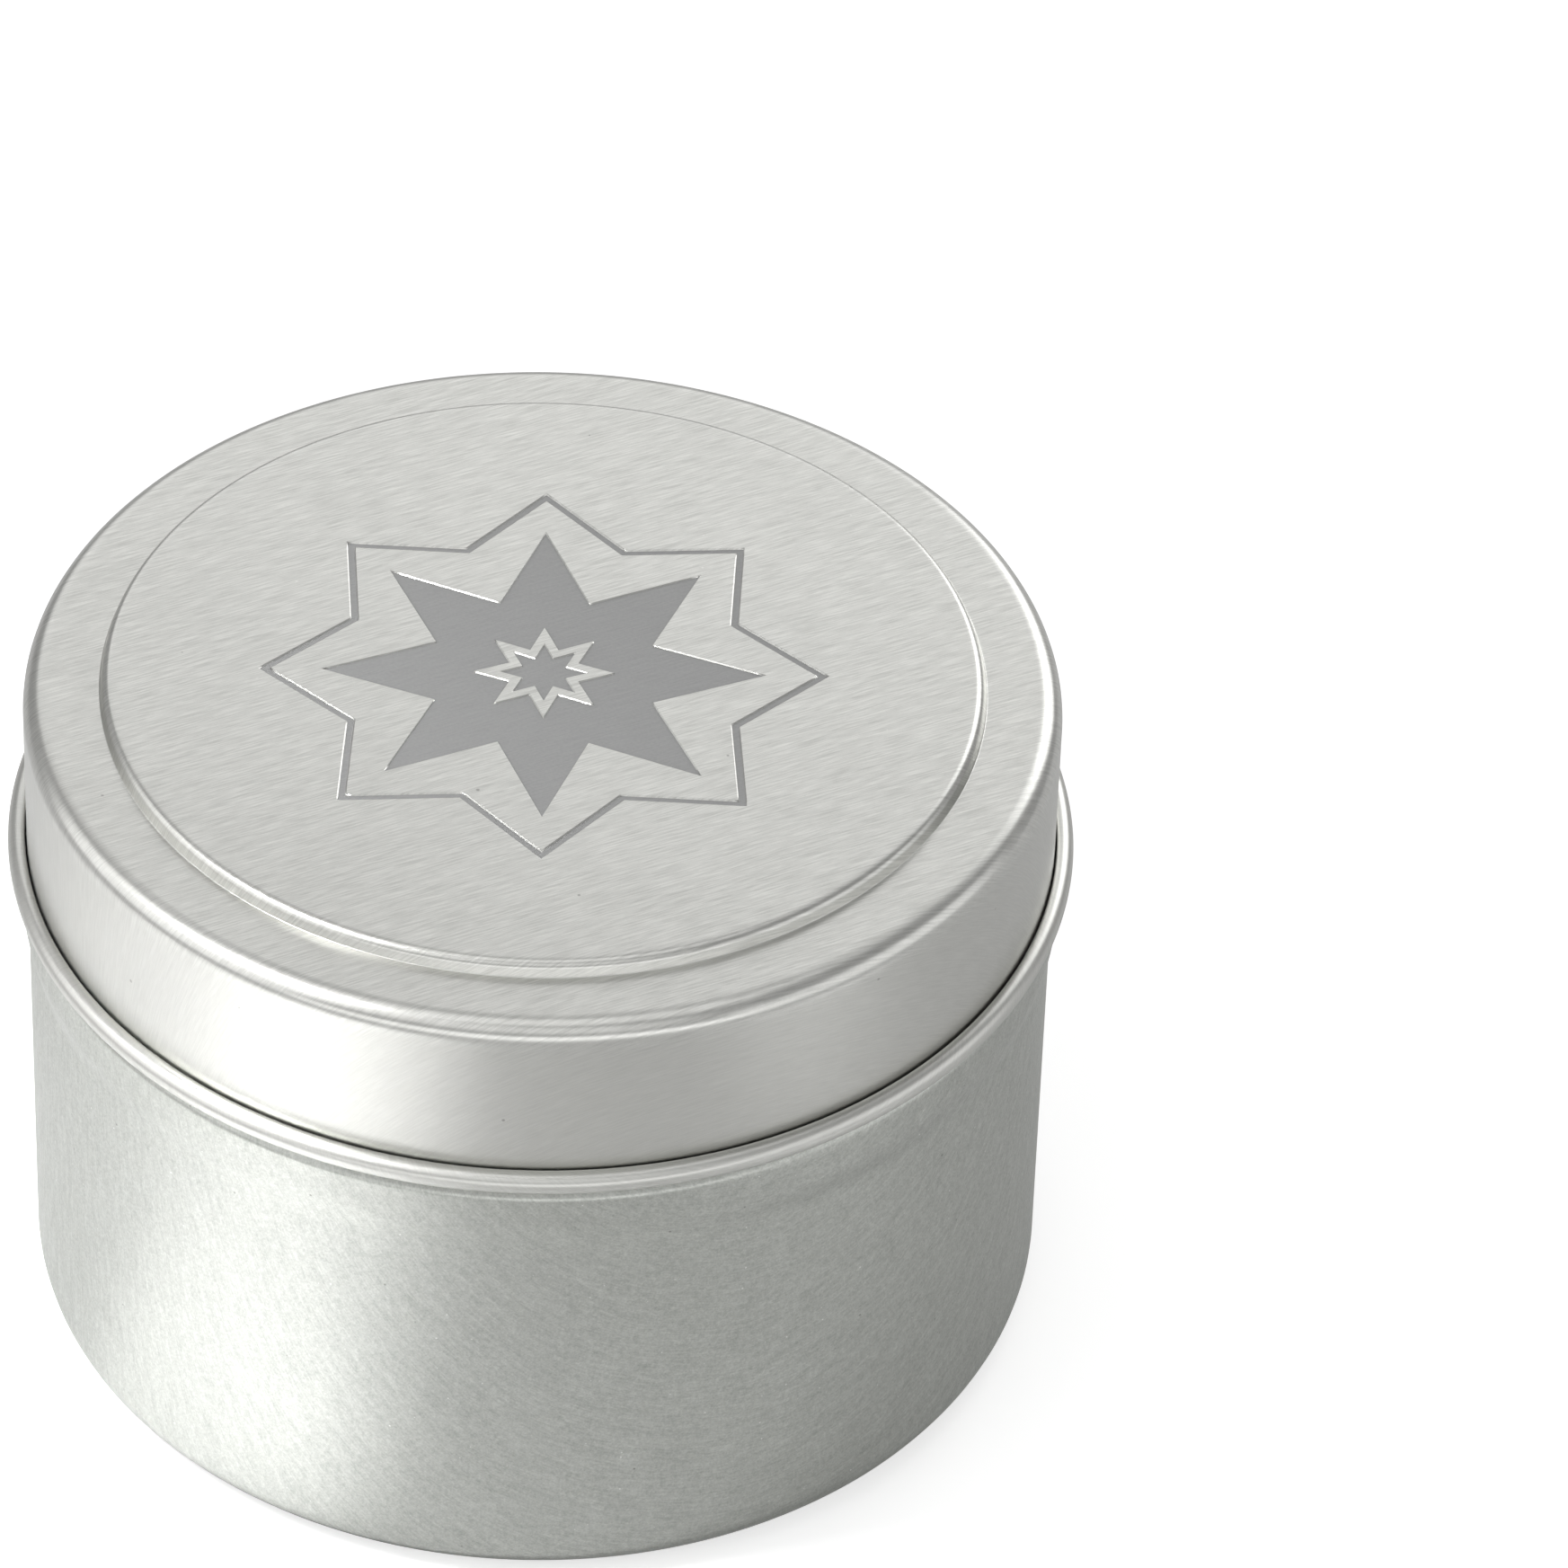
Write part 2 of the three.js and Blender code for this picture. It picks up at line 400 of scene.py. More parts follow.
# How dark or light the sheet is at each place, from 0 to 1: streaks, grit and clouds mixed by share, and
# calmed towards the middle tone where the sheet was drawn into a wall. Also gives the grit.
def sheetPattern(tree, look, place, run):
    streaks = putGroup(tree, grainGroup, {"Place": rolledPlace(tree), "Length": look["grainLength"],
                                          "Width": look["grainWidth"]})
    fine = putGroup(tree, mottleGroup, {"Place": place, "Span": tinplate["cloudSpan"],
                                        "Fineness": look["fineGrit"]})
    coarse = putGroup(tree, mottleGroup, {"Place": place, "Span": tinplate["patchSpan"],
                                          "Fineness": look["coarseGrit"]})
    grit = mixed(tree, tinplate["coarseShare"], fine["Grit"], coarse["Grit"])
    clouds = mixed(tree, tinplate["patchShare"], fine["Clouds"], coarse["Clouds"])
    pattern = mixed(tree, look["gritShare"], streaks["Streaks"], grit)
    pattern = mixed(tree, look["broadShare"], pattern, streaks["Broad"])
    pattern = mixed(tree, look["cloudShare"], pattern, clouds)
    flatTo = tinplate["flatTo"]
    left = ranged(tree, run, flatTo, flatTo + tinplate["calmOver"], 1.0, look["calm"])
    return mixed(tree, left, 0.5, pattern), grit


# A tone laid over a colour on scattered specks, given their place, spacing, size, share and depth.
def speckled(tree, colour, tone, place, spacing, size, share, depth):
    dots = putGroup(tree, speckGroup, {"Place": place, "Spacing": spacing, "Size": size, "Share": share})
    return blended(tree, math2(tree, "MULTIPLY", dots["Mask"], depth), colour, tone)


# Tinplate with its pattern, dark specks, bright glints, and bands along the blank that are made smoother or
# rougher and lightened as a painted highlight, each given as (run, reach, change of roughness, painted
# highlight).
def makeTinplate(name, look, runs):
    material, tree, shader = newMaterial(name, Metallic=1.0)
    run = blankRun(tree)
    place = placeInMm(tree)
    pattern, grit = sheetPattern(tree, look, place, run)
    colour = blended(tree, pattern, look["dark"], look["light"])
    colour = speckled(tree, colour, tinplate["speck"], place, look["speckSpacing"], look["speckSize"],
                      tinplate["speckShare"], look["speckDepth"])
    aside = put(tree, "VectorMath", {0: place, 1: tinplate["glintsAside"]}, operation="ADD").outputs[0]
    colour = speckled(tree, colour, tinplate["glint"], aside, look["glintSpacing"], look["glintSize"],
                      tinplate["glintShare"], look["glintDepth"])
    matt = ranged(tree, pattern, 0.1, 0.9, look["rough"], look["smooth"])
    for middle, reach, change, paintedHighlight in runs:
        given = {"Run": run, "Middle": middle, "Reach": reach, "Grit": grit}
        band = putGroup(tree, edgeBandGroup, given)["Mask"]
        # painted highlight: the colour is lightened towards the glint tone over the band
        colour = blended(tree, math2(tree, "MULTIPLY", band, paintedHighlight), colour, tinplate["glint"])
        matt = math2(tree, "ADD", matt, math2(tree, "MULTIPLY", band, change))
    addFinish(tree, shader, colour, matt)
    addRelief(tree, shader, look["bump"], tinplate["reliefDepth"], pattern)
    return material


printLook = {"matt": 0.62, "specular": 0.25, "dark": (0.285, 0.286, 0.284), "light": (0.335, 0.336, 0.334),
             "grainLength": 2.2, "grainWidth": 0.1, "cloudSpan": 6.0, "grit": 0.2, "gritShare": 0.4,
             "bump": 0.05}


# Matt grey print in the pressed mark, with a faint trace of the grain under it.
def makeMarkPrint():
    material, tree, shader = newMaterial("markPrint", Metallic=0.0, Roughness=printLook["matt"])
    shader.inputs["Specular IOR Level"].default_value = printLook["specular"]
    streaks = putGroup(tree, grainGroup, {"Place": rolledPlace(tree), "Length": printLook["grainLength"],
                                          "Width": printLook["grainWidth"]})
    mottle = putGroup(tree, mottleGroup, {"Place": placeInMm(tree), "Span": printLook["cloudSpan"],
                                          "Fineness": printLook["grit"]})
    pattern = mixed(tree, printLook["gritShare"], streaks["Streaks"], mottle["Grit"])
    addFinish(tree, shader, blended(tree, pattern, printLook["dark"], printLook["light"]))
    addRelief(tree, shader, printLook["bump"], tinplate["reliefDepth"], pattern)
    return material


lid = {
    "columns": 320, "cornerRound": 1.15, "panelRise": 0.9, "panelEdge": 26.35, "riserFoot": 26.62,
    "riserRound": 0.42, "footRound": 0.22, "skirtInset": 1.165, "hemRadius": 0.575, "hemEnd": 468,
    "hemSteps": 40, "waver": 0.018, "waverPower": 6,
}
mark = {"points": 8, "tip": 13.4, "valley": 0.53, "hole": 4.2, "seed": 2.7, "border": 17.2, "line": 0.75,
        "borderValley": 0.74, "depth": 0.10, "wall": 0.07, "near": 0.05, "clear": 24.6, "joinGap": 0.3}


# Radius of a star with straight sides at each angle, tips at radius 1. Between corners at radii a and b
# a step apart, it is a * b * sin(step) / (a * sin(angle past a) + b * sin(angle short of b)).
def starRadius(angle, points, valley):
    step = np.pi / points
    corner = np.floor(angle / step + 1e-6).astype(int)
    past = angle - corner * step
    a = np.where(corner % 2, valley, 1.0)
    b = np.where(corner % 2, 1.0, valley)
    return a * b * math.sin(step) / (a * np.sin(past) + b * np.sin(step - past))


# Rows of the panel's top face: star outlines scaled up from the middle, each printed band sunk by the depth
# between two walls. Gives radius, drop below the panel, and whether the row starts a printed band.
def markRows(columns):
    angle = turnAngles(columns)
    star = starRadius(angle, mark["points"], mark["valley"])
    border = starRadius(angle, mark["points"], mark["borderValley"])
    bands = [(star, None, mark["seed"]), (star, mark["hole"], mark["tip"]),
             (border, mark["border"] - mark["line"], mark["border"])]
    near, wall, depth = mark["near"], mark["wall"], mark["depth"]
    rows = [(0 * star, depth, 1)]
    for outline, start, end in bands:
        if start is not None:
            rows += [(outline * (start - near), 0, 0), (outline * start, 0, 0),
                     (outline * (start + wall), depth, 1), (outline * (start + wall + near), depth, 1)]
        rows += [(outline * (end - wall - near), depth, 1), (outline * (end - wall), depth, 0),
                 (outline * end, 0, 0), (outline * (end + near), 0, 0)]
    outside = border * (mark["border"] + near)
    rows += [(outside + (mark["clear"] - outside) * share, 0, 0) for share in (0.35, 0.7, 1.0)]
    radius, drop, printed = zip(*rows)
    return np.array(radius), np.array(drop, float), np.array(printed)


# Middle line of the lid's sheet, from the middle of its top to the end of its hem.
def lidMiddleLine():
    panelHeight = lidHigh[2] - sheet / 2
    ringHeight = panelHeight - lid["panelRise"]
    skirtRadius = lidHigh[0] - lid["skirtInset"] - sheet / 2
    hemCentre = lidLow[2] + lid["hemRadius"] + sheet / 2
    top = roundedPath([(0, panelHeight, 0), (lid["panelEdge"], panelHeight, lid["riserRound"]),
                       (lid["riserFoot"], ringHeight, lid["footRound"]),
                       (skirtRadius, ringHeight, lid["cornerRound"]), (skirtRadius, hemCentre, 0)])
    curl = lid["hemRadius"]
    hem = arcPath(skirtRadius + curl, hemCentre, curl, 180, lid["hemEnd"], lid["hemSteps"])
    return supported(np.vstack([top, hem[1:]]))


# A slow wave of two and three swings a turn, which puts pressed sheet out of true, always inwards and hardly
# at all near the middle: waver * (2 + sine + sine) / 4, times a high power of the share of the full radius.
def wavered(radius, fullRadius, told, phases):
    angle = turnAngles(radius.shape[1])
    wave = (2 + np.sin(2 * angle + phases[0]) + np.sin(3 * angle + phases[1])) / 4 * told["waver"]
    return radius - wave * (radius / fullRadius) ** told["waverPower"]


# Outer face with the pressed mark, hem curl and plain inner face.
def makeLid(tinplateLid, printed):
    columns = lid["columns"]
    section, run = sheetSection(lidMiddleLine(), 1)
    markRadius, markDrop, markPrinted = markRows(columns)
    outside = np.nonzero(section[:, 0] > mark["clear"] + mark["joinGap"])[0][0]
    radius = np.vstack([markRadius, overColumns(section[outside:, 0], columns)])
    height = np.concatenate([lidHigh[2] - markDrop, section[outside:, 1]])
    blank = np.vstack([markRadius, overColumns(run[outside:], columns)])
    radius = wavered(radius, lidHigh[0], lid, (0.6, 2.1))
    finish = np.zeros(len(radius), int)
    finish[:len(markPrinted)] = markPrinted
    grid = turnedGrid(radius, height, columns)
    return gridPiece("lid_shell", grid, blankSpread(blank, columns), [tinplateLid, printed],
                     rowFinish=finish)[0]


tin = {
    "columns": 320, "panelEdge": 24.6, "panelFoot": 25.1, "panelDepth": 0.5, "panelRound": 0.3,
    "cornerRound": 2.65, "cornerSteps": 11, "wallInset": 0.4, "neckInset": 0.9, "crownLow": 29.7,
    "crownHigh": 31.5, "shoulder": 1.3, "flank": 2.6,
    "curlRadius": 0.55, "curlEnd": 220, "curlSteps": 30, "waver": 0.018, "waverPower": 6,
}


# Middle line of the can's sheet up to the neck, from the base centre. Also gives the neck's radius.
def canMiddleLine():
    beadRadius = tinHigh[0] - sheet / 2
    wallRadius = beadRadius - tin["wallInset"]
    neckRadius = beadRadius - tin["neckInset"]
    baseHeight = tinLow[2] + sheet / 2
    panelHeight = baseHeight + tin["panelDepth"]
    crownLow, crownHigh = tin["crownLow"], tin["crownHigh"]
    base = roundedPath([(0, panelHeight, 0), (tin["panelEdge"], panelHeight, tin["panelRound"]),
                        (tin["panelFoot"], baseHeight, tin["panelRound"]),
                        (wallRadius, baseHeight, tin["cornerRound"]),
                        (wallRadius, crownLow - tin["flank"], 0)],
                       arcSteps=tin["cornerSteps"])
    flank = easedPath((wallRadius, crownLow - tin["flank"]), (beadRadius, crownLow))
    shoulder = easedPath((beadRadius, crownHigh), (neckRadius, crownHigh + tin["shoulder"]))
    return np.vstack([base, flank[1:], shoulder]), neckRadius


# The can: base panel, bottom radius, wall, bead, neck and the rim curled inwards.
def makeTinBody(tinplateBody):
    columns = tin["columns"]
    can, neckRadius = canMiddleLine()
    curlHeight = tinHigh[2] - tin["curlRadius"] - sheet / 2
    curl = arcPath(neckRadius - tin["curlRadius"], curlHeight, tin["curlRadius"], 0, tin["curlEnd"],
                   tin["curlSteps"])
    section, run = sheetSection(supported(np.vstack([can, curl])), -1)
    radius = wavered(overColumns(section[:, 0], columns), tinHigh[0], tin, (2.9, 0.4))
    grid = turnedGrid(radius, section[:, 1], columns)
    return gridPiece("tin_shell", grid, blankSpread(run, columns), [tinplateBody])[0]


# The top has rimRows rows a rimStep apart beside the wall, midRows from rimWidth in to the radius inner, and
# wickRows from there to the wick, closer and closer.
wax = {
    "columns": 256, "gap": 0.05, "level": 0.1, "wallRise": 0.30, "wallReach": 0.45, "wickRise": 0.45,
    "wickReach": 0.4, "wickShare": 0.69, "dip": 0.22, "dipReach": 4.5, "unevenness": 0.05, "hug": 1.12,
    "neckGap": 0.15, "overTab": 0.1, "socket": 0.6, "underRound": 0.05, "filletRound": 0.5,
    "rimStep": 0.08, "rimRows": 19, "rimWidth": 2, "midRows": 60, "inner": 5, "wickStart": 4.8,
    "wickRows": 34, "shaftEnds": 1.5, "shaftRows": 5,
    "pale": (0.930, 0.885, 0.700), "deep": (0.890, 0.810, 0.580), "speck": (0.42, 0.33, 0.22),
    # tintAndShade is a deeper tone about a point right of the wick: the wax's yellower middle and painted
    # shade from the wick
    "glow": (1.0, 0.75, 0.42), "tintAndShadeAt": 1.2, "tintAndShadeReach": 5.5, "tintAndShadeMost": 0.75, "cloudTint": 0.45,
    "speckSpacing": 2.6, "speckSize": 0.045, "speckShare": 0.12, "speckDepth": 0.7,
    "bump": 0.12, "bumpDepth": 0.05,
}


# Height of the set wax: level, less a shallow sink about the wick, plus short climbs against the wick and
# the wall, and a slow unevenness that fades out at both.
def waxTop(radius, angle, wallRadius, wickRadius):
    climbWall = wax["wallRise"] * np.exp(-(wallRadius - radius) / wax["wallReach"])
    climbWick = wax["wickRise"] * np.exp(-np.maximum(radius - wickRadius, 0) / wax["wickReach"])
    sink = wax["dip"] * np.exp(-(radius / wax["dipReach"]) ** 2)
    share = radius / wallRadius
    slow = np.sin(2 * angle + 3 * share) + np.sin(3 * angle - 4 * share + 1.3) + np.cos(5 * share + 0.5)
    uneven = wax["unevenness"] * slow * share * (1 - share) * 2
    return waxHigh[2] - wax["level"] + climbWall + climbWick - sink + uneven


# The poured block: round the tab, up the can's wall, over the top and down the hole that the wick fills.
def makeWax(finish):
    columns = wax["columns"]
    angle = turnAngles(columns)
    wickRadius = wax["wickShare"] * wickHigh[0]
    can = canMiddleLine()[0]
    against = offsetPath(supported(can), sheet / 2 + wax["gap"])
    edge = tabHigh[0] + wax["gap"]
    against = against[against[:, 0] > edge]
    wallRadius = against[-1, 0]
    tabTop = tabLow[2] + sheet + wax["gap"]
    neckTop = tabHigh[2] + wax["overTab"]
    neckEdge = wickRadius + sheet + wax["neckGap"]
    small = wax["underRound"]
    under = roundedPath([(wax["hug"], tabHigh[2] + wax["socket"], 0), (wax["hug"], neckTop, small),
                         (neckEdge, neckTop, small), (neckEdge, tabTop, wax["filletRound"]),
                         (edge, tabTop, small), (edge, against[0, 1], 0)], arcSteps=4)
    low = supported(np.vstack([under, against]))
    out = np.concatenate([wallRadius - wax["rimStep"] * np.arange(1, wax["rimRows"] + 1),
                          np.linspace(wallRadius - wax["rimWidth"], wax["inner"], wax["midRows"]),
                          np.geomspace(wax["wickStart"], wax["hug"], wax["wickRows"])])[:, None]
    top = waxTop(out, angle, wallRadius, wickRadius)
    shaft = np.linspace(waxHigh[2] - wax["shaftEnds"], tabHigh[2] + wax["shaftEnds"], wax["shaftRows"])
    radius = np.vstack([overColumns(low[:, 0], columns), overColumns(out, columns),
                        np.full((len(shaft), columns), wax["hug"])])
    height = np.vstack([overColumns(low[:, 1], columns), top, overColumns(shaft, columns)])
    rimTop = waxTop(np.full((1, columns), wallRadius), angle, wallRadius, wickRadius)
    height[len(low) - 1] = rimTop[0]
    grid = turnedGrid(radius, height, columns)
    run = runLength(np.stack([radius[:, 0], height[:, 0]], 1))
    return gridPiece("wax_pour", grid, blankSpread(run, columns), [finish], ring=True)[0]


# Cream wax: clouded colour, a few specks, and a satin skin with a faint frosting. It is deeper about the wick
# and a little to its right: partly the wax's yellower middle and partly painted shade from the wick.
def makeWaxFinish():
    material, tree, shader = newMaterial("creamWax", Subsurface_Weight=0.55, Subsurface_Scale=5 * mm,
                                         IOR=1.44)
    shader.inputs["Subsurface Radius"].default_value = wax["glow"]
    place = placeInMm(tree)
    mottle = putGroup(tree, mottleGroup, {"Place": place, "Span": 9.0, "Fineness": 0.5})
    fine = putGroup(tree, mottleGroup, {"Place": place, "Span": 2.2, "Fineness": 0.16})
    apart = put(tree, "SeparateXYZ", {0: place}).outputs
    # painted shade from the wick, with the wax's yellower middle: a deeper tone about a point a little right
    # of the wick
    besideX = math2(tree, "SUBTRACT", apart["X"], wax["tintAndShadeAt"])
    beside = put(tree, "CombineXYZ", {"X": besideX, "Y": apart["Y"]}).outputs[0]
    fromWick = put(tree, "VectorMath", {0: beside}, operation="LENGTH").outputs["Value"]
    tintAndShade = ranged(tree, fromWick, 1.0, wax["tintAndShadeReach"], wax["tintAndShadeMost"], 0.0)
    clouds = math2(tree, "MULTIPLY", mottle["Clouds"], wax["cloudTint"])
    colour = blended(tree, math2(tree, "ADD", clouds, tintAndShade, clamp=True), wax["pale"], wax["deep"])
    colour = speckled(tree, colour, wax["speck"], place, wax["speckSpacing"], wax["speckSize"],
                      wax["speckShare"], wax["speckDepth"])
    height = math2(tree, "ADD", math2(tree, "MULTIPLY", fine["Clouds"], 0.8),
                   math2(tree, "MULTIPLY", fine["Grit"], 0.2))
    addFinish(tree, shader, colour, ranged(tree, mottle["Grit"], 0, 1, 0.34, 0.46))
    addRelief(tree, shader, wax["bump"], wax["bumpDepth"], height)
    return material


# Each stitch is a turn in degrees from the front towards the right, and a height below the top.
wick = {
    "columns": 160, "strands": 3, "pitch": 9.0, "crease": 0.17, "creaseShape": 0.8, "fuzz": 0.02,
    "shaft": 1.32, "tip": 1.80, "tipInset": 0.12, "tipLength": 4.9, "tipStart": 0.7,
    "lump2": 0.09, "lump3": 0.063, "lump5": 0.045, "dent": 0.30, "dentTurn": 262, "dentReach": 900,
    "domeHeight": 0.9, "domeShape": 0.75, "lean": -0.38, "leanShape": 1.6, "rowStep": 0.07,
    "buriedStep": 0.6, "buriedDepth": 1.0, "thread": 0.13, "threadRaise": 0.05, "threadSpan": 1.0,
    "stitches": [(-58, 1.55), (-36, 2.35), (-24, 2.6), (-14, 2.85), (-4, 3.05), (4, 3.1), (14, 3.4),
                 (22, 3.6), (-16, 0.55), (-13, 1.2), (-10, 1.6), (6, 1.65), (20, 0.35)],
    # creaseShade is a browner, darker tone laid into the creases of the twist as painted shade
    "cotton": (0.88, 0.80, 0.66), "creaseShade": (0.66, 0.48, 0.30), "dip": (0.93, 0.92, 0.89),
    "dipShade": (0.80, 0.775, 0.735), "stitch": (0.40, 0.20, 0.075), "glow": (1.0, 0.85, 0.65),
}


# How far a place on the tip is inside a stitch or the thread between two of them: 1 or nearly so on its
# middle and 0 about a thread's width away, by the distance to it in (turn * radius, height).
def stitchMask(angle, below):
    across = (np.degrees(angle) + 90 + 180) % 360 - 180
    place = np.stack(np.broadcast_arrays(np.radians(across) * wick["tip"], below), -1)
    spots = np.array([(math.radians(turn) * wick["tip"], low) for turn, low in wick["stitches"]])
    mask = np.zeros(place.shape[:2])
    for spot in spots:
        away = np.linalg.norm(place - spot, axis=-1)
        mask = np.maximum(mask, 1 - away / (1.35 * wick["thread"]))
    for start, end in zip(spots[:-1], spots[1:]):
        side = end - start
        if np.linalg.norm(side) < wick["threadSpan"]:
            share = np.clip(((place - start) @ side) / (side @ side), 0, 1)[..., None]
            away = np.linalg.norm(place - start - share * side, axis=-1)
            mask = np.maximum(mask, 0.8 - away / (0.8 * wick["thread"]))
    return np.clip(mask, 0, 1)


# Radius of the twisted strands: it dips to a crease at each join, as |cos| of half the strand count times
# the turned angle. Also gives how deep in a crease each place is, before the tip covers it, for the painted
# shade there.
def strandRadius(angle, level):
    twist = wick["strands"] / 2 * (angle + 2 * np.pi * level / wick["pitch"])
    fuzz = wick["fuzz"] * np.sin(9 * angle + 3.1 * level) * np.sin(5 * level + 4 * angle)
    swell = np.abs(np.cos(twist))
    radius = wick["shaft"] * (1 - wick["crease"] * (1 - swell ** wick["creaseShape"])) + fuzz
    return radius, 1 - swell ** 0.6


# Radius of the dipped tip: a little fuller in its middle, with lumps of two, three and five to a turn. Also
# gives how much of the strands it covers, easing from 0 to 1 at its uneven lower edge.
def tipRadius(angle, level, capStart):
    cover = np.clip((level - capStart - 0.25 * np.sin(2 * angle + 0.8) + 0.35) / wick["tipStart"], 0, 1)
    along = np.clip((level - capStart) / wick["tipLength"], 0, 1)
    lumps = wick["lump2"] * np.sin(2 * angle + 5 * along + 1.0)
    lumps = lumps + wick["lump3"] * np.sin(3 * angle - 7 * along)
    lumps = lumps + wick["lump5"] * np.sin(5 * angle + 9 * along + 2.0)
    full = wick["tip"] * (0.90 + 0.10 * np.sin(np.pi * along ** 0.8)) - wick["tipInset"] + lumps
    return full, cover * cover * (3 - 2 * cover)


# The strands with a lumpy cap of wax over their folded end, closed by a dented dome, and leaning a little.
# Rows run up the middle line.
def makeWick(finish, capFinish):
    columns = wick["columns"]
    angle = turnAngles(columns)
    exposedFrom = waxHigh[2] - wick["buriedDepth"]
    capStart = wickHigh[2] - wick["tipLength"]
    buried = np.arange(wickLow[2] + 0.05, exposedFrom, wick["buriedStep"])
    shown = np.arange(exposedFrom, wickHigh[2] - wick["domeHeight"], wick["rowStep"])
    height = np.concatenate([buried, shown])
    strands, creaseShade = strandRadius(angle, height[:, None])
    tip, cover = tipRadius(angle, height[:, None], capStart)
    radius = strands * (1 - cover) + tip * cover
    domeAngle = np.linspace(0, 1, 22)[1:, None] ** 0.8 * np.pi / 2
    fromDent = (np.degrees(angle) - wick["dentTurn"] + 180) % 360 - 180
    dent = wick["dent"] * np.exp(-fromDent ** 2 / wick["dentReach"])
    domeRadius = radius[-1] * np.cos(domeAngle) ** wick["domeShape"]
    domeRise = (wickHigh[2] - height[-1]) * np.sin(domeAngle)
    domeHeight = height[-1] + domeRise - dent * np.sin(2 * domeAngle) - 0.03
    radius = np.vstack([np.zeros((1, columns)), radius, domeRadius])
    radius[-1] = 0
    level = np.vstack([np.full((1, columns), height[0]), overColumns(height, columns), domeHeight])
    level[-1] = level[-1].mean()
    thread = stitchMask(angle, wickHigh[2] - level) * (level > capStart - 0.2)
    radius = radius + wick["threadRaise"] * thread * (radius > 0.3)
    grid = turnedGrid(radius, level, columns)
    above = np.clip((level - exposedFrom) / (wickHigh[2] - exposedFrom), 0, 1)
    grid[..., 0] += wick["lean"] * above ** wick["leanShape"]
    run = runLength(np.stack([radius[:, 0], level[:, 0]], 1))
    turn = angle / (2 * np.pi) * np.ones((len(run), 1))
    spread = np.stack([turn, overColumns(run, columns)], 2)
    finishOfRow = (level.mean(1) > capStart - 0.1).astype(int)
    piece, used = gridPiece("wick_braid", grid, spread, [finish, capFinish], rowFinish=finishOfRow)
    # how deep in a crease each place is, kept as an attribute for the painted crease shade
    deep = np.vstack([np.zeros((1, columns)), creaseShade * (1 - cover), np.zeros(domeRadius.shape)])
    for label, values in (("thread", thread), ("creaseShade", deep)):
        attribute = piece.data.attributes.new(label, "FLOAT", "POINT")
        attribute.data.foreach_set("value", values.ravel()[used].astype(np.float32))
    return piece


# Waxed cotton: fibres along the twist, painted shade that darkens the creases, with soft clouds.
def makeCotton():
    material, tree, shader = newMaterial("waxedCotton", Subsurface_Weight=0.25, Subsurface_Scale=0.6 * mm)
    shader.inputs["Subsurface Radius"].default_value = wick["glow"]
    place = placeInMm(tree)
    creaseShade = put(tree, "Attribute", attribute_name="creaseShade").outputs["Fac"]
    twisted = put(tree, "Mapping", {"Vector": place, "Rotation": (0, math.radians(28), 0),
                                    "Scale": (6, 6, 0.8)}).outputs[0]
    fibre = put(tree, "TexNoise", {"Vector": twisted, "Scale": 1.4, "Detail": 3.0}).outputs["Fac"]
    mottle = putGroup(tree, mottleGroup, {"Place": place, "Span": 1.6, "Fineness": 0.2})
    # painted shade: the creases are darkened and browned, over soft clouds of tone
    shade = math2(tree, "ADD", math2(tree, "MULTIPLY", creaseShade, 0.75),
                  math2(tree, "MULTIPLY", mottle["Clouds"], 0.3), clamp=True)
    height = math2(tree, "ADD", math2(tree, "MULTIPLY", fibre, 0.8),
                   math2(tree, "MULTIPLY", mottle["Grit"], 0.2))
    addFinish(tree, shader, blended(tree, shade, wick["cotton"], wick["creaseShade"]),
              ranged(tree, fibre, 0.3, 0.7, 0.42, 0.62))
    addRelief(tree, shader, 0.5, 0.06, height)
    return material


# White wax on the tip, with the brown stitches showing in it.
def makeCapWax():
    material, tree, shader = newMaterial("dippedTip", Subsurface_Weight=0.5, Subsurface_Scale=0.8 * mm)
    shader.inputs["Subsurface Radius"].default_value = wick["glow"]
    thread = put(tree, "Attribute", attribute_name="thread").outputs["Fac"]
    mottle = putGroup(tree, mottleGroup, {"Place": placeInMm(tree), "Span": 1.1, "Fineness": 0.18})
    colour = blended(tree, mottle["Clouds"], wick["dip"], wick["dipShade"])
    colour = blended(tree, ranged(tree, thread, 0.15, 0.6, 0, 1), colour, wick["stitch"])
    addFinish(tree, shader, colour, ranged(tree, mottle["Grit"], 0, 1, 0.28, 0.42))
    addRelief(tree, shader, 0.35, 0.08, mottle["Clouds"])
    return material


tab = {
    "columns": 128, "beadAt": 6.4, "beadRise": 0.25, "beadWidth": 0.7, "neckInner": 1.42, "fillet": 0.55,
    "crimp": 0.10, "crimpHeight": 4.2, "crimpReach": 1.1, "neckOnly": 3, "rowsNear": 0.1, "rowsApart": 0.35,
    "dark": (0.60, 0.61, 0.62), "light": (0.72, 0.73, 0.74), "smooth": 0.24, "rough": 0.36, "bump": 0.1,
    "grainLength": 1.5, "grainWidth": 0.06, "cloudSpan": 4.0, "grit": 0.1,
}
tape = {
    "columns": 96, "edgeRound": 0.12, "bulge": 0.06, "bulgeRound": 0.8, "cellScale": 5.0, "bump": 0.6,
    "bumpDepth": 0.08, "matt": 0.85, "dark": (0.84, 0.82, 0.77), "light": (0.90, 0.885, 0.85),
}


